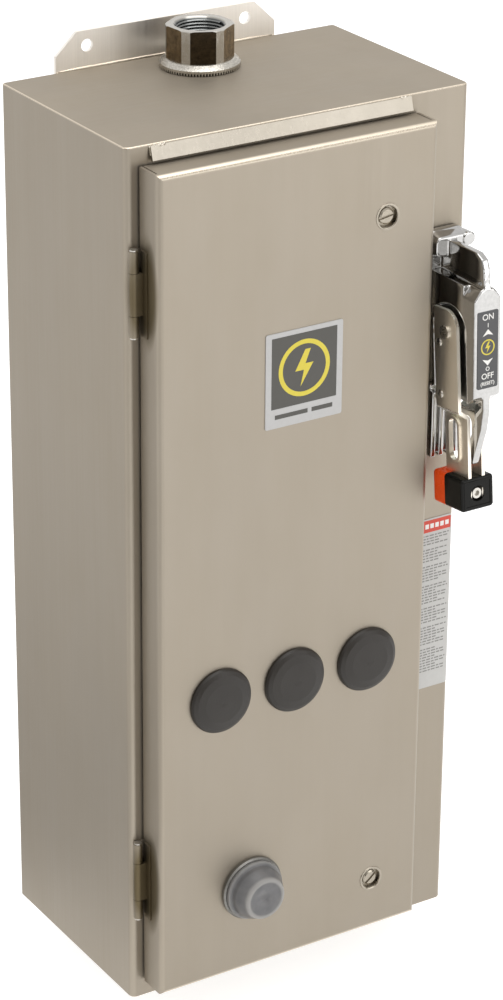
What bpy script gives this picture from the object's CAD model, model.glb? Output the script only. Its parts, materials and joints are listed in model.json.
"""Looks for the combination motor starter: materials, printed labels, springs, threads, welds and stage."""
import json
import math

import bmesh
import bpy
from mathutils import Matrix, Vector


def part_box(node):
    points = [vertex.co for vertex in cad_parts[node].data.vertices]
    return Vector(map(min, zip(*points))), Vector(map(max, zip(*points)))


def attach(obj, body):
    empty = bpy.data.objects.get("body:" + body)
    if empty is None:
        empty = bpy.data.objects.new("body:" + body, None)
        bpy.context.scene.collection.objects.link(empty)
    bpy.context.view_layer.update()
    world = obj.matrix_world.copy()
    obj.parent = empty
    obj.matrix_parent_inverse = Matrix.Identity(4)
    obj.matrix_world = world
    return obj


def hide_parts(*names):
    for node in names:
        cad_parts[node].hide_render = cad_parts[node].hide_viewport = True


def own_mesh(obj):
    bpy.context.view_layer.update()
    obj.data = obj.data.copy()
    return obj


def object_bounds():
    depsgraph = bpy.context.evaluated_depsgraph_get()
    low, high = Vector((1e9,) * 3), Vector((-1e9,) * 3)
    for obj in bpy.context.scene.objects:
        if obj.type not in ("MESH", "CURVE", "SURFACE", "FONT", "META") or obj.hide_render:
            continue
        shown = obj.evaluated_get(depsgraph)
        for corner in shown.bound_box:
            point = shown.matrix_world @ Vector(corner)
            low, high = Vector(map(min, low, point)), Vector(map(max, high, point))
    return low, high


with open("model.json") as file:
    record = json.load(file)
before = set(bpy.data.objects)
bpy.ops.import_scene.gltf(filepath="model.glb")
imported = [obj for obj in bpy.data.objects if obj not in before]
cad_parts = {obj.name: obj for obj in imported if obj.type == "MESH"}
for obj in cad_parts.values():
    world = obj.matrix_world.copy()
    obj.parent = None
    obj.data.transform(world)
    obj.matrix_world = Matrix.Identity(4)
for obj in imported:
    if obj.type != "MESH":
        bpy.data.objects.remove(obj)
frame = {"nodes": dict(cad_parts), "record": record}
nodes = frame["nodes"]
record = frame["record"]
cad_low, cad_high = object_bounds()

MM = 0.001
UP = Vector((0, 0, 1))
RIGHT = Vector((1, 0, 0))


# ------------------------------------------------------------------ shader kit
class Paint:
    """A material being built: keeps its node tree and makes nodes with short calls."""

    def __init__(self, name):
        self.material = bpy.data.materials.new(name)
        self.material.use_nodes = True
        self.tree = self.material.node_tree
        self.tree.nodes.clear()
        self.output = self.tree.nodes.new("ShaderNodeOutputMaterial")
        self.shader = self.tree.nodes.new("ShaderNodeBsdfPrincipled")
        self.tree.links.new(self.shader.outputs[0], self.output.inputs[0])
        self.place = self.tree.nodes.new("ShaderNodeTexCoord").outputs["Object"]

    def node(self, kind, **settings):
        made = self.tree.nodes.new(kind)
        for key, value in settings.items():
            setattr(made, key, value)
        return made

    def link(self, source, target):
        self.tree.links.new(source, target)

    def set(self, **values):
        for key, value in values.items():
            self.shader.inputs[key.replace("_", " ")].default_value = value

    def stretched(self, scale=(1, 1, 1)):
        """Object position scaled separately along X, Y and Z."""
        mapping = self.node("ShaderNodeMapping")
        mapping.inputs["Scale"].default_value = scale
        self.link(self.place, mapping.inputs["Vector"])
        return mapping.outputs[0]

    def noise(self, vector, scale=1.0, detail=3.0, roughness=0.5):
        made = self.node("ShaderNodeTexNoise")
        made.inputs["Scale"].default_value = scale
        made.inputs["Detail"].default_value = detail
        made.inputs["Roughness"].default_value = roughness
        self.link(vector, made.inputs["Vector"])
        return made.outputs["Fac"]

    def ramp(self, value, low, high, start=0.0, end=1.0):
        """value from start..end mapped to low..high, clamped."""
        made = self.node("ShaderNodeMapRange")
        made.inputs["From Min"].default_value = start
        made.inputs["From Max"].default_value = end
        made.inputs["To Min"].default_value = low
        made.inputs["To Max"].default_value = high
        self.link(value, made.inputs["Value"])
        return made.outputs["Result"]

    def maths(self, operation, first, second):
        made = self.node("ShaderNodeMath", operation=operation)
        for socket, value in zip(made.inputs, (first, second)):
            if isinstance(value, (int, float)):
                socket.default_value = value
            else:
                self.link(value, socket)
        return made.outputs[0]

    def blend(self, amount, first, second):
        """Mix of two colours; each is a tuple or a socket."""
        made = self.node("ShaderNodeMix", data_type="RGBA")
        sockets = (made.inputs[0], made.inputs[6], made.inputs[7])
        for socket, value in zip(sockets, (amount, first, second)):
            if isinstance(value, (tuple, list)):
                socket.default_value = (*value, 1.0)
            elif isinstance(value, (int, float)):
                socket.default_value = value
            else:
                self.link(value, socket)
        return made.outputs[2]

    def colour(self, source):
        self.link(source, self.shader.inputs["Base Color"])

    def rough(self, source):
        self.link(source, self.shader.inputs["Roughness"])

    def parts(self, vector):
        """X, Y and Z outputs of a vector."""
        split = self.node("ShaderNodeSeparateXYZ")
        self.link(vector, split.inputs[0])
        return split.outputs

    def times(self, colour, factor):
        """A colour made brighter or darker by a number from a socket."""
        scaled = self.node("ShaderNodeVectorMath", operation="SCALE")
        self.link(colour, scaled.inputs[0])
        self.link(factor, scaled.inputs["Scale"])
        return scaled.outputs[0]

    def distance(self, centre, axes):
        """Distance from a point, counting only the axes marked 1."""
        offset = self.node("ShaderNodeVectorMath", operation="SUBTRACT")
        offset.inputs[1].default_value = centre
        self.link(self.place, offset.inputs[0])
        level = self.node("ShaderNodeVectorMath", operation="MULTIPLY")
        level.inputs[1].default_value = axes
        self.link(offset.outputs[0], level.inputs[0])
        length = self.node("ShaderNodeVectorMath", operation="LENGTH")
        self.link(level.outputs[0], length.inputs[0])
        return length.outputs["Value"]

    def spot(self, centre, reach):
        """1 at a point in object space, falling to 0 at the given reach along X, Y and Z."""
        moved = self.node("ShaderNodeVectorMath", operation="SUBTRACT")
        moved.inputs[1].default_value = centre
        self.link(self.place, moved.inputs[0])
        scaled = self.node("ShaderNodeVectorMath", operation="DIVIDE")
        scaled.inputs[1].default_value = reach
        self.link(moved.outputs[0], scaled.inputs[0])
        length = self.node("ShaderNodeVectorMath", operation="LENGTH")
        self.link(scaled.outputs[0], length.inputs[0])
        return self.ramp(length.outputs["Value"], 1.0, 0.0, 0.45, 0.85)

    def bump(self, height, strength, distance, under=None):
        made = self.node("ShaderNodeBump")
        made.inputs["Strength"].default_value = strength
        made.inputs["Distance"].default_value = distance
        self.link(height, made.inputs["Height"])
        if under is not None:
            self.link(under, made.inputs["Normal"])
        self.link(made.outputs[0], self.shader.inputs["Normal"])
        return made.outputs[0]


LEVEL_FACE = 0.7
LINE_SWING = 0.03
STREAK_SWING = 0.22
LEVEL_PALER = 1.15
LEVEL_ROUGHER = 0.14
RUBBED_ROUGHNESS = 0.55
SMEAR_TINT = (0.97, 0.965, 0.95)


def brushed(name, base, rough=(0.30, 0.42), grain=1.0, across=900.0, along=9.0, stain=0.05,
            polish=1.0, spots=()):
    """Grained sheet metal: grain runs up the walls and along X on level faces; spots are heat-tinted."""
    paint = Paint(name)
    paint.set(Metallic=1.0)
    flat = paint.parts(paint.node("ShaderNodeNewGeometry").outputs["True Normal"])
    level = paint.maths("GREATER_THAN", paint.maths("ABSOLUTE", flat["Z"], 0), LEVEL_FACE)
    upright = paint.noise(paint.stretched((across, across, along)), detail=2.0)
    lying = paint.noise(paint.stretched((along, across, across)), detail=2.0)
    fine = paint.node("ShaderNodeMix", data_type="FLOAT")
    paint.link(level, fine.inputs[0])
    paint.link(upright, fine.inputs[2])
    paint.link(lying, fine.inputs[3])
    lines = fine.outputs[0]

    # Bends are where the shaded normal leaves all three axes; those that face up or down are rubbed bright.
    rounded = paint.parts(paint.node("ShaderNodeNewGeometry").outputs["Normal"])
    sideways, ahead, tilt = (paint.maths("ABSOLUTE", rounded[axis], 0) for axis in "XYZ")
    steepest = paint.maths("MAXIMUM", paint.maths("MAXIMUM", sideways, ahead), tilt)
    bend = paint.ramp(steepest, 1.0, 0.0, 0.90, 0.995)
    rubbed = paint.maths("MULTIPLY", bend, paint.ramp(tilt, 0.12, 1.0, 0.1, 0.35))

    clouds = paint.noise(paint.stretched((6, 6, 3.5)), detail=4.0, roughness=0.6)
    streaks = paint.noise(paint.stretched((70, 70, 3)), detail=3.0, roughness=0.6)
    smears = paint.noise(paint.stretched((26, 26, 12)), detail=3.0, roughness=0.55)
    line_swing = LINE_SWING * grain
    streak_swing = STREAK_SWING * stain
    shade = paint.maths(
        "MULTIPLY",
        paint.ramp(clouds, 1 - stain, 1 + stain, 0.3, 0.7),
        paint.ramp(lines, 1 - line_swing, 1 + line_swing, 0.25, 0.75),
    )
    shade = paint.maths("MULTIPLY", shade, paint.ramp(streaks, 1 - streak_swing, 1 + streak_swing, 0.3, 0.7))
    shade = paint.maths("MULTIPLY", shade, paint.ramp(rubbed, 1.0, polish))
    shade = paint.maths("MULTIPLY", shade, paint.ramp(level, 1.0, LEVEL_PALER))
    smeared = tuple(part * tint for part, tint in zip(base, SMEAR_TINT))
    tone = paint.blend(paint.ramp(smears, 0.0, 1.0, 0.3, 0.7), base, smeared)
    for centre, reach in spots:
        heat = paint.maths("MULTIPLY", paint.spot(centre, reach), paint.ramp(smears, 0.75, 1.0, 0.3, 0.6))
        tone = paint.blend(heat, tone, HEAT_TINT)
    paint.colour(paint.times(tone, shade))
    patchy = paint.maths(
        "ADD",
        paint.ramp(lines, rough[0], rough[1], 0.25, 0.75),
        paint.ramp(clouds, -0.04, 0.04, 0.3, 0.7),
    )
    duller = paint.maths("ADD", patchy, paint.maths("MULTIPLY", level, LEVEL_ROUGHER))
    paint.rough(paint.maths("MULTIPLY", duller, paint.ramp(rubbed, 1.0, RUBBED_ROUGHNESS)))
    paint.bump(lines, 0.05 * grain, 0.0002)
    return paint.material


def plated(name, base, rough=(0.05, 0.12), wave=0.15, wave_scale=90.0, speck=0.0):
    """Polished plating over a cast or stamped part, with slight waviness and handling marks."""
    paint = Paint(name)
    paint.set(Metallic=1.0)
    swell = paint.noise(paint.stretched(), scale=wave_scale, detail=2.0)
    marks = paint.noise(paint.stretched(), scale=wave_scale * 5, detail=4.0, roughness=0.7)
    paint.colour(paint.blend(paint.ramp(marks, 0, 1, 0.35, 0.75), base, tuple(c * 0.86 for c in base)))
    paint.rough(paint.ramp(marks, rough[0], rough[1], 0.35, 0.7))
    under = paint.bump(swell, wave, 0.0008)
    if speck:
        grit = paint.noise(paint.stretched(), scale=1400, detail=2.0)
        paint.bump(grit, speck, 0.0003, under)
    return paint.material


BORE_EDGE = (0.0161, 0.0172)
SHADED_FLAT_X = 0.43


def machined_hub(name, plating, flats, turn, middle):
    """Zinc plating with six stained wrench flats; turn is where the first flat faces. The bore is dark."""
    paint = Paint(name)
    paint.set(Metallic=1.0)
    normal = paint.parts(paint.node("ShaderNodeNewGeometry").outputs["True Normal"])
    angle = paint.maths("ARCTAN2", normal["Y"], normal["X"])
    wave = paint.maths("COSINE", paint.maths("MULTIPLY", paint.maths("SUBTRACT", angle, turn), 6), 0)
    upright = paint.maths("LESS_THAN", paint.maths("ABSOLUTE", normal["Z"], 0), 0.3)
    flat = paint.maths("MULTIPLY", paint.maths("GREATER_THAN", wave, 0.9), upright)
    bore = paint.ramp(paint.distance(middle, (1, 1, 0)), 1.0, 0.0, *BORE_EDGE)
    grime = paint.noise(paint.stretched(), scale=260, detail=4.0, roughness=0.65)
    stained = paint.blend(paint.ramp(grime, 0, 1, 0.3, 0.65), flats, tuple(c * 0.45 for c in flats))
    # The stain is heaviest on one flat and thins towards the flats on either side of it.
    facing = paint.maths("ABSOLUTE", paint.maths("ADD", normal["X"], SHADED_FLAT_X), 0)
    dark = paint.times(stained, paint.ramp(facing, 0.58, 3.3))
    paint.colour(paint.blend(bore, paint.blend(flat, plating, dark), BORE_TONE))
    paint.rough(paint.ramp(grime, 0.14, 0.28, 0.35, 0.7))
    paint.bump(grime, 0.15, 0.0004)
    return paint.material


GAP_TONE = (0.02, 0.018, 0.014)


def toothed_ring(name, plating, centre, teeth_top, teeth):
    """Rough zinc plating; the gaps between the teeth round the lower edge are dark."""
    paint = Paint(name)
    paint.set(Metallic=1.0)
    place = paint.parts(paint.place)
    across = paint.maths("SUBTRACT", place["X"], centre.x)
    deep = paint.maths("SUBTRACT", place["Y"], centre.y)
    wave = paint.maths("COSINE", paint.maths("MULTIPLY", paint.maths("ARCTAN2", deep, across), teeth), 0)
    between = paint.maths("GREATER_THAN", wave, 0.0)
    gap = paint.maths("MULTIPLY", between, paint.maths("LESS_THAN", place["Z"], teeth_top))
    grit = paint.noise(paint.stretched(), scale=900, detail=3.0, roughness=0.7)
    metal = paint.blend(paint.ramp(grit, 0, 1, 0.35, 0.65), plating, tuple(c * 0.6 for c in plating))
    paint.colour(paint.blend(gap, metal, GAP_TONE))
    paint.rough(paint.ramp(grit, 0.22, 0.4, 0.35, 0.7))
    paint.bump(grit, 0.35, 0.0004)
    return paint.material


def moulded(name, base, rough=(0.35, 0.5), texture=0.25, texture_scale=1500.0, tint=0.9, shine=0.5):
    """Moulded plastic or rubber with a fine surface texture and slight colour drift."""
    paint = Paint(name)
    grain = paint.noise(paint.stretched(), scale=texture_scale, detail=2.0)
    drift = paint.noise(paint.stretched(), scale=60, detail=3.0)
    paint.colour(paint.blend(paint.ramp(drift, 0, 1, 0.3, 0.7), base, tuple(c * tint for c in base)))
    paint.rough(paint.ramp(drift, rough[0], rough[1], 0.3, 0.7))
    paint.bump(grain, texture, 0.0002)
    paint.set(Specular_IOR_Level=shine)
    return paint.material


def silicone(name, centre, front):
    """Translucent boot: cloudy grey, paler where the wall is thick round the cap and the foot."""
    paint = Paint(name)
    cloud = paint.noise(paint.stretched(), scale=120, detail=3.0)
    body = paint.blend(paint.ramp(cloud, 0, 1, 0.3, 0.7), (0.23, 0.225, 0.225), (0.17, 0.17, 0.175))
    out = paint.distance((centre[0], 0, centre[1]), (1, 0, 1))
    near_front = paint.ramp(paint.parts(paint.place)["Y"], 1.0, 0.0, front + 0.0012, front + 0.0030)
    rim = paint.maths("MULTIPLY", near_front, paint.ramp(out, 0.0, 1.0, 0.0118, 0.0130))
    foot = paint.ramp(out, 0.0, 0.6, 0.0196, 0.0212)
    paint.colour(paint.blend(paint.maths("MAXIMUM", rim, foot), body, (0.40, 0.39, 0.375)))
    paint.rough(paint.ramp(cloud, 0.30, 0.42, 0.3, 0.7))
    paint.set(Transmission_Weight=0.35, IOR=1.41, Subsurface_Weight=0.3)
    paint.shader.inputs["Subsurface Radius"].default_value = (0.003, 0.003, 0.003)
    paint.bump(cloud, 0.05, 0.0005)
    return paint.material


def printed(name, base, rough=(0.28, 0.36), speckle=0.04):
    """Screen-printed film or ink: slight mottling and a satin surface."""
    paint = Paint(name)
    mottle = paint.noise(paint.stretched(), scale=400, detail=3.0)
    faded = tuple(c * (1 - speckle) for c in base)
    paint.colour(paint.blend(paint.ramp(mottle, 0, 1, 0.3, 0.7), base, faded))
    paint.rough(paint.ramp(mottle, rough[0], rough[1], 0.3, 0.7))
    paint.bump(mottle, 0.05, 0.0001)
    return paint.material


# ------------------------------------------------------------------- materials
STEEL_TONE = (0.330, 0.292, 0.240)
HEAT_TINT = (0.12, 0.095, 0.055)
HINGE_HALF = 0.0285
hinge_spots = []
hinge_low, hinge_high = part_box("hinge_pins")
for hinge_z in (hinge_high.z - HINGE_HALF, hinge_low.z + HINGE_HALF):
    hinge_spots.append(((hinge_low.x + 0.004, hinge_low.y - 0.004, hinge_z), (0.018, 0.016, 0.050)))
    hinge_spots.append(((hinge_high.x + 0.003, hinge_low.y - 0.007, hinge_z), (0.008, 0.012, 0.044)))
boot_low, boot_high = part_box("reset_boot")
boot_centre = ((boot_low.x + boot_high.x) / 2, (boot_low.z + boot_high.z) / 2)
materials = {
    "stainless": brushed("stainless", STEEL_TONE, rough=(0.42, 0.54), polish=1.9, spots=hinge_spots),
    "zinc_steel": plated("zinc_steel", (0.50, 0.475, 0.43), rough=(0.18, 0.36), wave=0.25, wave_scale=160,
                         speck=0.15),
    "chrome_casting": plated("chrome_casting", (0.50, 0.495, 0.485)),
    "lever_steel": brushed("lever_steel", (0.96, 0.90, 0.80), rough=(0.32, 0.44), grain=0.5, across=1600,
                           along=60),
    "steel": brushed("steel", (0.56, 0.54, 0.50), rough=(0.22, 0.36), grain=0.6, across=1600, along=200),
    "black_plastic": moulded("black_plastic", (0.021, 0.0175, 0.014), rough=(0.34, 0.46), texture=0.6,
                             texture_scale=1000, shine=0.36),
    "knob_black": moulded("knob_black", (0.006, 0.006, 0.005), rough=(0.14, 0.22), texture=0.10,
                          shine=0.16),
    "knob_red": moulded("knob_red", (0.86, 0.085, 0.012), rough=(0.22, 0.32), texture=0.12,
                        shine=0.25),
    "black_rubber": moulded("black_rubber", (0.018, 0.018, 0.018), rough=(0.6, 0.8), texture=0.5,
                            texture_scale=900),
    "clear_boot": silicone("clear_boot", boot_centre, boot_low.y),
    "grey_plastic": moulded("grey_plastic", (0.16, 0.16, 0.165)),
    "nameplate_print": printed("nameplate_print", (0.43, 0.425, 0.42)),
    "label_print": printed("label_print", (0.055, 0.055, 0.058)),
    "warning_print": printed("warning_print", (0.47, 0.465, 0.45)),
    "panel_paint": moulded("panel_paint", (0.62, 0.62, 0.59), rough=(0.35, 0.45), texture=0.3,
                           texture_scale=500),
    "phenolic_black": moulded("phenolic_black", (0.016, 0.014, 0.013), rough=(0.38, 0.52)),
    "copper": brushed("copper", (0.72, 0.40, 0.24), rough=(0.25, 0.4), grain=0.6, across=1400, along=300),
    "laminations": brushed("laminations", (0.16, 0.16, 0.17), rough=(0.4, 0.6), grain=3.0, across=1200,
                           along=20),
    "coil_wrap": moulded("coil_wrap", (0.42, 0.26, 0.06), rough=(0.35, 0.5), texture=0.5, texture_scale=700),
    "wire_black": moulded("wire_black", (0.015, 0.015, 0.016), rough=(0.35, 0.45)),
    "wire_red": moulded("wire_red", (0.40, 0.025, 0.018), rough=(0.35, 0.45)),
    "brass_hardware": plated("brass_hardware", (0.70, 0.52, 0.26), rough=(0.18, 0.3)),
    "spring_steel": brushed("spring_steel", (0.50, 0.49, 0.47), rough=(0.2, 0.3), grain=0.4, across=1500,
                            along=400),
    "blue_plastic": moulded("blue_plastic", (0.02, 0.05, 0.16), rough=(0.2, 0.3)),
}
for row in record["subparts"]:
    part = nodes[row["node"]]
    part.data.materials.clear()
    part.data.materials.append(materials[row["material_slot"]])

FIRST_FLAT = math.radians(4.7)
BORE_TONE = (0.10, 0.105, 0.105)
ring_low, ring_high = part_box("hub_knurled_ring")
ring_middle = (ring_low + ring_high) / 2
hub_metal = machined_hub("hub_metal", (0.50, 0.48, 0.44), (0.12, 0.09, 0.055), FIRST_FLAT, ring_middle)
ear_metal = brushed("ear_metal", (0.86, 0.83, 0.79), rough=(0.42, 0.52), stain=0.08)
lip_metal = brushed("lip_metal", (0.40, 0.368, 0.318), rough=(0.32, 0.44), stain=0.14)
TEETH_RISE = 0.0017
TEETH = 84
ring_metal = toothed_ring("ring_metal", (0.62, 0.59, 0.53), ring_middle, ring_low.z + TEETH_RISE, TEETH)
thread_metal = plated("thread_metal", (0.22, 0.225, 0.22), rough=(0.2, 0.35), wave=0.2)
dull_metal = brushed("dull_metal", (0.36, 0.325, 0.27), rough=(0.34, 0.46), grain=0.5, across=1600, along=60)
bushing_metal = plated("bushing_metal", (0.24, 0.235, 0.22), rough=(0.35, 0.5))
for node_name in ("latch_cups", "latch_screw_upper", "latch_screw_lower"):
    nodes[node_name].data.materials[0] = dull_metal
nodes["reset_bushing"].data.materials[0] = bushing_metal
for node_name, metal in (
    ("conduit_hub", hub_metal),
    ("hub_knurled_ring", ring_metal),
    ("mounting_ears", ear_metal),
    ("drip_lip", lip_metal),
):
    nodes[node_name].data.materials[0] = metal

ink_dark = printed("ink_dark", (0.058, 0.055, 0.047))
ink_yellow = printed("ink_yellow", (0.60, 0.50, 0.04))
ink_white = printed("ink_white", (0.74, 0.73, 0.70))
ink_red = printed("ink_red", (0.55, 0.045, 0.02))
ink_grey = printed("ink_grey", (0.20, 0.195, 0.185))
weld_metal = plated("weld_metal", (0.62, 0.57, 0.49), rough=(0.2, 0.4), wave=0.5, wave_scale=500, speck=0.4)
weld_burnt = plated("weld_burnt", (0.36, 0.32, 0.25), rough=(0.3, 0.5), wave=0.5, wave_scale=500, speck=0.4)


# ----------------------------------------------------------------- piece makers
def piece(name, vertices, faces, material, body, smooth=True):
    """Mesh object made of the given faces that rides on a body."""
    mesh = bpy.data.meshes.new(name)
    mesh.from_pydata(vertices, [], faces)
    work = bmesh.new()
    work.from_mesh(mesh)
    bmesh.ops.recalc_face_normals(work, faces=work.faces)
    work.to_mesh(mesh)
    work.free()
    mesh.polygons.foreach_set("use_smooth", [smooth] * len(mesh.polygons))
    made = bpy.data.objects.new(name, mesh)
    bpy.context.scene.collection.objects.link(made)
    made.data.materials.append(material)
    bpy.context.view_layer.update()
    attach(made, body)
    return made


def tube_along(path, radius, sides=10):
    """Vertices and faces of a closed round bar; radius is a number or one number per point."""
    radii = radius if isinstance(radius, (list, tuple)) else [radius] * len(path)
    vertices, faces = [], []
    for index, point in enumerate(path):
        ahead = path[min(index + 1, len(path) - 1)] - path[max(index - 1, 0)]
        across = ahead.orthogonal() if abs(ahead.normalized().z) > 0.99 else ahead.cross(UP)
        across.normalize()
        over = across.cross(ahead).normalized()
        for side in range(sides):
            turn = 2 * math.pi * side / sides
            vertices.append(point + (across * math.cos(turn) + over * math.sin(turn)) * radii[index])
    for ring in range(len(path) - 1):
        for side in range(sides):
            after = (side + 1) % sides
            near, far = ring * sides, (ring + 1) * sides
            faces.append((near + side, near + after, far + after, far + side))
    faces.append(tuple(range(sides)))
    faces.append(tuple((len(path) - 1) * sides + side for side in reversed(range(sides))))
    return vertices, faces


def coil_path(centre, radius, start, end, turns, steps=28):
    """Helix about a line along Y through centre (x, z), from start to end."""
    count = int(turns * steps)
    path = []
    for index in range(count + 1):
        turn = 2 * math.pi * turns * index / count
        along = start + (end - start) * index / count
        out, up = radius * math.cos(turn), radius * math.sin(turn)
        path.append(Vector((centre[0] + out, along, centre[1] + up)))
    return path


def lathe(name, centre, profile, material, body, segments=96):
    """Closed profile of (radius, y) in metres turned about a line along Y through centre (x, z)."""
    vertices, faces = [], []
    rings = len(profile)
    for step in range(segments):
        turn = 2 * math.pi * step / segments
        for radius, along in profile:
            out, up = radius * math.cos(turn), radius * math.sin(turn)
            vertices.append(Vector((centre[0] + out, along, centre[1] + up)))
    for step in range(segments):
        after = (step + 1) % segments
        for ring in range(rings):
            following = (ring + 1) % rings
            here, there = step * rings, after * rings
            faces.append((here + ring, there + ring, there + following, here + following))
    made = piece(name, vertices, faces, material, body)
    work = bmesh.new()
    work.from_mesh(made.data)
    bmesh.ops.remove_doubles(work, verts=work.verts, dist=1e-6)
    work.to_mesh(made.data)
    work.free()
    return made


def bead(name, start, end, radius, wobble, material, body, steps=60):
    """Weld bead between two points, uneven along its length."""
    path, radii = [], []
    for index in range(steps + 1):
        part = index / steps
        ripple = math.sin(index * 2.4) * 0.5 + math.sin(index * 0.83 + 1) * 0.5
        path.append(Vector(start).lerp(Vector(end), part) + UP * radius * wobble * 0.3 * ripple)
        radii.append(radius * (1 + wobble * ripple) * min(1.0, 0.35 + 8 * min(part, 1 - part)))
    vertices, faces = tube_along(path, radii)
    return piece(name, vertices, faces, material, body)


class Print:
    """A flat face that takes ink: outlines and words are placed in millimetres from its centre."""

    def __init__(self, node, body, slot):
        self.body, self.slot = body, slot
        mesh = nodes[node].data
        front = min(mesh.polygons, key=lambda face: (round(face.normal.y, 3), -face.area))
        self.normal = front.normal.normalized()
        self.up = self.normal.cross(RIGHT)
        low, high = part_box(node)
        corners = [nodes[node].matrix_world @ vertex.co for vertex in mesh.vertices]
        self.height = max(corner.dot(self.normal) for corner in corners)
        middle = (low + high) / 2
        self.centre = middle + self.normal * (self.height - middle.dot(self.normal))

    def point(self, x, y, lift):
        return self.centre + RIGHT * x * MM + self.up * y * MM + self.normal * lift

    def ink(self, name, outlines, material, layer=1):
        """Filled outlines, each a counter-clockwise list of (x, y); thin raised ink."""
        vertices, faces = [], []
        top = layer * INK
        for outline in outlines:
            start, count = len(vertices), len(outline)
            vertices += [self.point(x, y, top - INK * 0.9) for x, y in outline]
            vertices += [self.point(x, y, top) for x, y in outline]
            faces.append(tuple(start + index for index in reversed(range(count))))
            faces.append(tuple(start + count + index for index in range(count)))
            for index in range(count):
                after = (index + 1) % count
                upper = start + count
                faces.append((start + index, start + after, upper + after, upper + index))
        return piece(name, vertices, faces, material, self.body, smooth=False)

    def words(self, name, text, x, y, size, material, layer=2):
        curve = bpy.data.curves.new(name, "FONT")
        curve.body = text
        curve.size = size * MM
        curve.align_x, curve.align_y = "CENTER", "CENTER"
        curve.extrude = INK / 2
        curve.offset = 0.00006
        made = bpy.data.objects.new(name, curve)
        bpy.context.scene.collection.objects.link(made)
        turned = Matrix((RIGHT, self.up, self.normal)).transposed().to_4x4()
        made.matrix_world = Matrix.Translation(self.point(x, y, layer * INK)) @ turned
        curve.materials.append(material)
        bpy.context.view_layer.update()
        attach(made, self.body)
        return made


def bar(left, bottom, right, top):
    return [(left, bottom), (right, bottom), (right, top), (left, top)]


def ring_strips(outer, inner, count=48):
    """A flat ring as a set of four-cornered outlines."""
    strips = []
    for index in range(count):
        first, second = (2 * math.pi * (index + step) / count for step in (0, 1))
        strips.append([
            (inner * math.cos(first), inner * math.sin(first)),
            (outer * math.cos(first), outer * math.sin(first)),
            (outer * math.cos(second), outer * math.sin(second)),
            (inner * math.cos(second), inner * math.sin(second)),
        ])
    return strips


def moved(outline, x, y, scale=1.0):
    return [(x + scale * px, y + scale * py) for px, py in outline]


BOLT = [(0.05, 1.0), (-0.55, -0.12), (-0.02, -0.12), (-0.22, -1.0), (0.55, 0.22), (0.06, 0.22), (0.38, 1.0)]
CHEVRON = [(0, 1.0), (-1.6, -0.75), (0, -0.3), (1.6, -0.75)]
INK = 0.00004

# ---------------------------------------------------------------------- labels
plate = Print("nameplate", "door", "nameplate_print")
plate.ink("nameplate_panel", [bar(-24.8, -19.4, 24.8, 29.4)], ink_dark)
plate.ink("nameplate_ring", [moved(strip, 0, 5.2) for strip in ring_strips(19.5, 16.4)], ink_yellow, layer=2)
plate.ink("nameplate_bolt", [moved(BOLT, 0, 5.2, 12.5)], ink_yellow, layer=2)
plate.ink("nameplate_bars", [bar(-22, -26.6, 3, -23.6), bar(6, -26.6, 22, -23.6)], ink_dark)

label = Print("handle_label", "enclosure", "label_print")
label.ink("label_arrow_up", [moved(CHEVRON, 0, 11.6, 2.6)], ink_white)
label.ink("label_arrow_down", [moved([(x, -y) for x, y in reversed(CHEVRON)], 0, -8.2, 2.6)], ink_white)
label.ink("label_ring", [moved(strip, 0, 1.8) for strip in ring_strips(5.4, 4.5, 32)], ink_yellow)
label.ink("label_mark", [moved(BOLT, 0, 1.8, 3.8)], ink_yellow)
for text_name, text, text_y, text_size in (
    ("on", "ON", 22.4, 5.8), ("one", "I", 16.8, 4.2), ("zero", "O", -13.2, 4.0),
    ("off", "OFF", -18.2, 5.6), ("reset", "(RESET)", -23.2, 3.4),
):
    label.words(f"label_{text_name}", text, 0, text_y, text_size, ink_white)

warning = Print("warning_label", "enclosure", "warning_print")
warning.ink("warning_header", [bar(-16.0, 54.6, 16.0, 63.6)], ink_red)
header_marks = [bar(x, 57.4, x + 2.9, 60.8) for x in (-9.0, -4.9, -0.8, 3.3, 7.4, 11.5)]
warning.ink("warning_header_marks", header_marks, ink_white, layer=2)
LINE_COUNT = 44
LINE_STEP = 2.1
PARAGRAPH_STEP = 2.2
PARAGRAPHS = (4, 9, 15, 22, 28, 35)
MARGIN_LEFT = -14.6
dashes = []
line_y = 51.5
for line in range(LINE_COUNT):
    if line in PARAGRAPHS:
        line_y -= PARAGRAPH_STEP
    spot = MARGIN_LEFT
    word = 0
    line_end = 13.8 - 9.0 * abs(math.sin(line * 2.1)) * (line % 3 == 2)
    while spot < line_end:
        length = 1.4 + 2.2 * abs(math.sin(line * 3.7 + word * 1.9))
        dashes.append(bar(spot, line_y, min(spot + length, 14.8), line_y + 0.95))
        spot += length + 0.8
        word += 1
    line_y -= LINE_STEP
warning.ink("warning_lines", dashes, ink_grey)


boot_front, boot_back = boot_low.y, boot_high.y
boot = lathe("boot_skin", boot_centre, [
    (0.0001, boot_front + 0.0007), (0.0085, boot_front + 0.0006), (0.0118, boot_front + 0.0003),
    (0.0131, boot_front), (0.0142, boot_front + 0.0001),
    (0.0150, boot_front + 0.0009), (0.0154, boot_front + 0.0022),
    (0.0170, boot_front + 0.0052), (0.0186, boot_front + 0.0084), (0.0192, boot_front + 0.0104),
    (0.0189, boot_front + 0.0118), (0.0194, boot_front + 0.0127), (0.0210, boot_front + 0.0131),
    (0.0215, boot_front + 0.0138), (0.0215, boot_back), (0.0198, boot_back),
    (0.0178, boot_front + 0.0090), (0.0142, boot_front + 0.0026),
    (0.0124, boot_front + 0.0019), (0.0001, boot_front + 0.0018),
], materials["clear_boot"], "door")
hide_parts("reset_boot")
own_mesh(boot)

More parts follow.
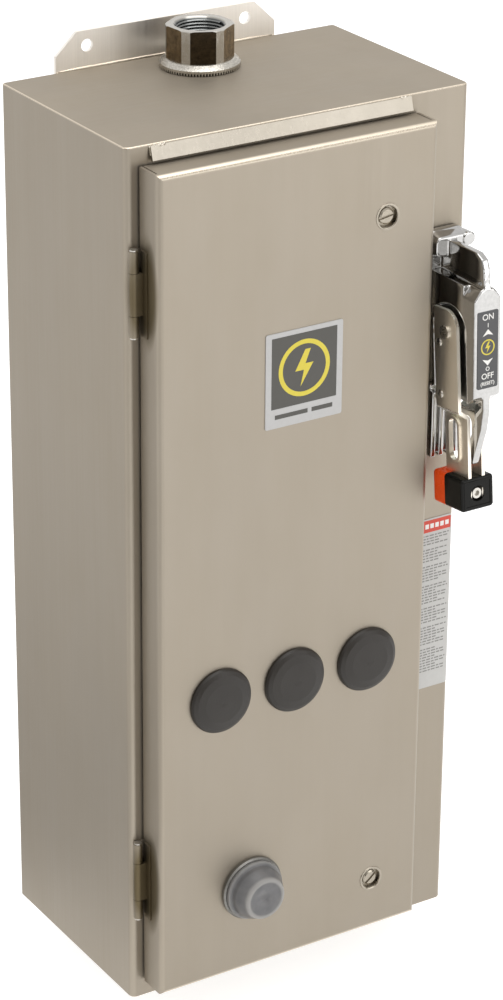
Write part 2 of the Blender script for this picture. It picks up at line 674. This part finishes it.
# --------------------------------------------------------------------- springs
WIRE = 0.00075
RESET_COIL_R = 0.0088
RESET_COIL_TURNS = 4.5
THIN_WIRE = 0.0004
RETURN_COIL_TURNS = 11
spring_low, spring_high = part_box("reset_spring")
path = coil_path(boot_centre, RESET_COIL_R, spring_low.y + WIRE, spring_high.y - WIRE, RESET_COIL_TURNS)
vertices, faces = tube_along(path, WIRE)
reset_coil = piece("reset_coil", vertices, faces, materials["spring_steel"], "door")
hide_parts("reset_spring")
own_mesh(reset_coil)

return_low, return_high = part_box("return_spring")
return_radius = (return_high.x - return_low.x) / 2
coil_start, coil_end = return_low.y + THIN_WIRE, return_high.y - THIN_WIRE
for coil_name, coil_z in (("upper", return_high.z - return_radius), ("lower", return_low.z + return_radius)):
    coil_centre = ((return_low.x + return_high.x) / 2, coil_z)
    path = coil_path(coil_centre, return_radius - THIN_WIRE, coil_start, coil_end, RETURN_COIL_TURNS)
    vertices, faces = tube_along(path, THIN_WIRE, sides=8)
    coil = piece(
        f"return_coil_{coil_name}", vertices, faces, materials["spring_steel"], "enclosure")
    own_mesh(coil)
    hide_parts("return_spring")

# ---------------------------------------------------------------------- thread
hub_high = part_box("conduit_hub")[1]
BORE = 0.0159
THREAD_PITCH = 0.0022
THREAD_DEPTH = 0.0007
thread_top = hub_high.z - 0.0022
THREAD_TURNS = 9
THREAD_STEPS = 72
ROOT_R = BORE + 0.0002
ROOT_RISE = THREAD_PITCH * 0.42
THREAD_SECTION = ((ROOT_R, ROOT_RISE), (BORE - THREAD_DEPTH, 0), (ROOT_R, -ROOT_RISE))
vertices, faces = [], []
for index in range(THREAD_TURNS * THREAD_STEPS + 1):
    turn = 2 * math.pi * index / THREAD_STEPS
    height = thread_top - THREAD_PITCH * index / THREAD_STEPS
    for radius, rise in THREAD_SECTION:
        across, deep = radius * math.cos(turn), radius * math.sin(turn)
        vertices.append(Vector((ring_middle.x + across, ring_middle.y + deep, height + rise)))
for index in range(THREAD_TURNS * THREAD_STEPS):
    for corner in range(3):
        after = (corner + 1) % 3
        near, far = index * 3, index * 3 + 3
        faces.append((near + corner, near + after, far + after, far + corner))
faces.append((0, 1, 2))
last = THREAD_TURNS * THREAD_STEPS * 3
faces.append((last + 2, last + 1, last))
piece("hub_thread", vertices, faces, thread_metal, "enclosure", smooth=False)

# ----------------------------------------------------------------------- welds
body_low, body_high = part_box("enclosure_body")
ears_low, ears_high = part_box("mounting_ears")
WELD_FOOT = 0.0015
PROUD = 0.0002
INSET = 0.002
for end_name, level in (("top", body_high.z), ("bottom", body_low.z)):
    bead(
        f"ear_weld_{end_name}",
        (ears_low.x + INSET, body_high.y + PROUD, level), (ears_high.x - INSET, body_high.y + PROUD, level),
        WELD_FOOT, 0.06, materials["stainless"], "enclosure")
lip_low, lip_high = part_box("drip_lip")
bead(
    "lip_weld_left",
    (lip_low.x - 0.001, lip_high.y + PROUD, lip_high.z - 0.0015),
    (lip_low.x + 0.011, lip_high.y - 0.0006, lip_high.z - 0.0004),
    0.0011, 0.35, weld_metal, "enclosure", steps=24)
bead(
    "lip_weld_left_root",
    (lip_low.x - PROUD, lip_high.y - PROUD, lip_high.z - 0.001),
    (lip_low.x - PROUD, lip_high.y - 0.0016, lip_low.z + 0.003),
    0.0007, 0.3, weld_burnt, "enclosure", steps=16)
bead(
    "lip_weld_right",
    (lip_high.x - 0.008, lip_high.y - 0.0006, lip_high.z - 0.0004),
    (lip_high.x + 0.001, lip_high.y + PROUD, lip_high.z - 0.0015),
    0.0010, 0.35, weld_metal, "enclosure", steps=20)

# --------------------------------------------------------------- lever details
throw = next(joint for joint in record["behaviour"]["joints"] if joint["name"] == "handle_throw")
pivot = Vector(throw["pos_m"])
ARM_LEAN = math.radians(5.5)
arm_out = Vector((0, -math.cos(ARM_LEAN), math.sin(ARM_LEAN)))
arm_down = Vector((0, -math.sin(ARM_LEAN), -math.cos(ARM_LEAN)))
RIVET_PROFILE = ((0.0029, -0.0004), (0.0029, 0.0002), (0.0026, 0.0006), (0.0019, 0.0010), (0.0010, 0.0012))
RIVET_SIDES = 24
RIVETS = ((-7.2, 8.6), (-7.1, 44.2))
shaft_low, shaft_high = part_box("lever_shafts")
SHAFT_HEAD = 0.0013
vertices, faces = [], []
for side, plate_x in ((-1, shaft_low.x + SHAFT_HEAD), (1, shaft_high.x - SHAFT_HEAD)):
    for out, down in RIVETS:
        start = len(vertices)
        centre = pivot + arm_out * out * MM + arm_down * down * MM
        for radius, rise in RIVET_PROFILE:
            for step in range(RIVET_SIDES):
                turn = 2 * math.pi * step / RIVET_SIDES
                rim = arm_out * math.cos(turn) + arm_down * math.sin(turn)
                vertices.append(Vector((plate_x + side * rise, centre.y, centre.z)) + rim * radius)
        for ring in range(len(RIVET_PROFILE) - 1):
            for step in range(RIVET_SIDES):
                after = (step + 1) % RIVET_SIDES
                near, far = start + ring * RIVET_SIDES, start + (ring + 1) * RIVET_SIDES
                faces.append((near + step, near + after, far + after, far + step))
        faces.append(tuple(start + step for step in range(RIVET_SIDES)))
        last_ring = start + (len(RIVET_PROFILE) - 1) * RIVET_SIDES
        faces.append(tuple(last_ring + step for step in reversed(range(RIVET_SIDES))))
piece("lever_rivets", vertices, faces, materials["zinc_steel"], "handle_lever")

KNOB_OUT = 13.3
KNOB_DOWN = 111.35
knob_face = pivot + arm_out * KNOB_OUT * MM + arm_down * KNOB_DOWN * MM
RIM_PROFILE = ((11.1, 9.6, -0.1), (10.8, 9.3, 0.5), (9.8, 8.3, 0.5), (9.5, 8.0, -0.1))
vertices, faces = [], []
for half_x, half_d, rise in RIM_PROFILE:
    for sign_x, sign_d in ((-1, -1), (1, -1), (1, 1), (-1, 1)):
        corner = RIGHT * sign_x * half_x + arm_down * sign_d * half_d + arm_out * rise
        vertices.append(knob_face + corner * MM)
for ring in range(4):
    near, far = ring * 4, ((ring + 1) % 4) * 4
    for corner in range(4):
        after = (corner + 1) % 4
        faces.append((near + corner, near + after, far + after, far + corner))
piece("knob_rim", vertices, faces, materials["knob_black"], "handle_lever", smooth=False)

# --------------------------------------------------------- castings and edges
casting = nodes["handle_base"]
remesh = casting.modifiers.new("cast", "REMESH")
remesh.mode = "VOXEL"
remesh.voxel_size = 0.0006
remesh.use_smooth_shade = True
soften = casting.modifiers.new("soften", "SMOOTH")
soften.factor = 0.5
soften.iterations = 11
for node_name, width in (("lever_plates", 0.0003), ("conduit_hub", 0.0003), ("knob_screw", 0.0002)):
    edge = nodes[node_name].modifiers.new("edge", "BEVEL")
    edge.width = width
    edge.segments = 2
    edge.limit_method = "ANGLE"
    edge.angle_limit = math.radians(35)

# ---------------------------------------------------------------------- stage
floor_z = cad_low.z - 0.001
bpy.ops.mesh.primitive_plane_add(size=60, location=(0, 0, floor_z))
floor = bpy.context.active_object
floor.name = "floor"
floor_paint = Paint("floor_paint")
floor_paint.set(Base_Color=(0.6, 0.6, 0.6, 1), Roughness=0.95, Emission_Color=(1, 1, 1, 1))
floor_place = floor_paint.parts(floor_paint.place)
slanted = floor_paint.maths("MULTIPLY", floor_place["Y"], 0.45)
beside = floor_paint.maths("SUBTRACT", floor_place["X"], slanted)
far_glow = floor_paint.ramp(beside, 0.50, 0.0, -0.85, -0.45)
near_glow = floor_paint.ramp(beside, 0.10, 0.72, -0.26, -0.15)
floor_glow = floor_paint.maths("MAXIMUM", far_glow, near_glow)
floor_paint.link(floor_glow, floor_paint.shader.inputs["Emission Strength"])
floor.data.materials.append(floor_paint.material)

world = bpy.data.worlds.new("studio")
bpy.context.scene.world = world
world.use_nodes = True
tree = world.node_tree
direction = tree.nodes.new("ShaderNodeTexCoord").outputs["Generated"]
split = tree.nodes.new("ShaderNodeSeparateXYZ")
tree.links.new(direction, split.inputs[0])
behind = tree.nodes.new("ShaderNodeMapRange")
tree.links.new(split.outputs["Y"], behind.inputs["Value"])
behind.inputs["From Min"].default_value = -0.45
behind.inputs["From Max"].default_value = 0.55
above = tree.nodes.new("ShaderNodeMapRange")
tree.links.new(split.outputs["Z"], above.inputs["Value"])
above.inputs["From Min"].default_value = 0.10
above.inputs["From Max"].default_value = 0.42
either = tree.nodes.new("ShaderNodeMath")
either.operation = "MAXIMUM"
tree.links.new(behind.outputs["Result"], either.inputs[0])
tree.links.new(above.outputs["Result"], either.inputs[1])
shades = tree.nodes.new("ShaderNodeMix")
shades.data_type = "RGBA"
tree.links.new(either.outputs[0], shades.inputs[0])
shades.inputs[6].default_value = (0.10, 0.08, 0.05, 1)
shades.inputs[7].default_value = (0.98, 0.97, 0.96, 1)
tree.links.new(shades.outputs[2], tree.nodes["Background"].inputs[0])


def soft_box(name, place, target, size, power):
    """Rectangular area light aimed at a point."""
    lamp = bpy.data.lights.new(name, "AREA")
    lamp.shape = "RECTANGLE"
    lamp.size, lamp.size_y = size
    lamp.energy = power
    made = bpy.data.objects.new(name, lamp)
    bpy.context.scene.collection.objects.link(made)
    made.location = place
    made.rotation_mode = "QUATERNION"
    made.rotation_quaternion = (Vector(target) - Vector(place)).to_track_quat("-Z", "Y")


middle = (cad_low + cad_high) / 2
soft_box("top_box", (0.1, -0.6, 2.2), middle, (2.0, 1.6), 22)
soft_box("left_box", (-2.4, 0.4, 1.3), middle, (0.9, 1.4), 5)
soft_box("right_box", (1.25, -2.2, 0.5), middle, (1.5, 1.3), 12.2)

# --------------------------------------------------------------------- camera
CAMERA_PLACE = Vector((-1.0563, -1.7714, 0.9218))
CAMERA_FORWARD = Vector((0.45822, 0.79574, -0.39601)).normalized()
CAMERA_ROLL = math.radians(-0.526)
FOCAL_MM = 115.6
SHIFT = (0.1304, -0.0715)
camera_data = bpy.data.cameras.new("camera")
camera = bpy.data.objects.new("camera", camera_data)
bpy.context.scene.collection.objects.link(camera)
camera_data.sensor_fit = "AUTO"
camera_data.sensor_width = 36.0
camera_data.lens = FOCAL_MM
camera_data.shift_x, camera_data.shift_y = SHIFT
level_right = CAMERA_FORWARD.cross(UP).normalized()
level_up = level_right.cross(CAMERA_FORWARD)
camera_right = level_right * math.cos(CAMERA_ROLL) + level_up * math.sin(CAMERA_ROLL)
camera_up = camera_right.cross(CAMERA_FORWARD)
camera.matrix_world = Matrix.Translation(CAMERA_PLACE) @ Matrix(
    (camera_right, camera_up, -CAMERA_FORWARD)).transposed().to_4x4()
bpy.context.scene.camera = camera
bpy.context.scene.view_settings.view_transform = "Standard"
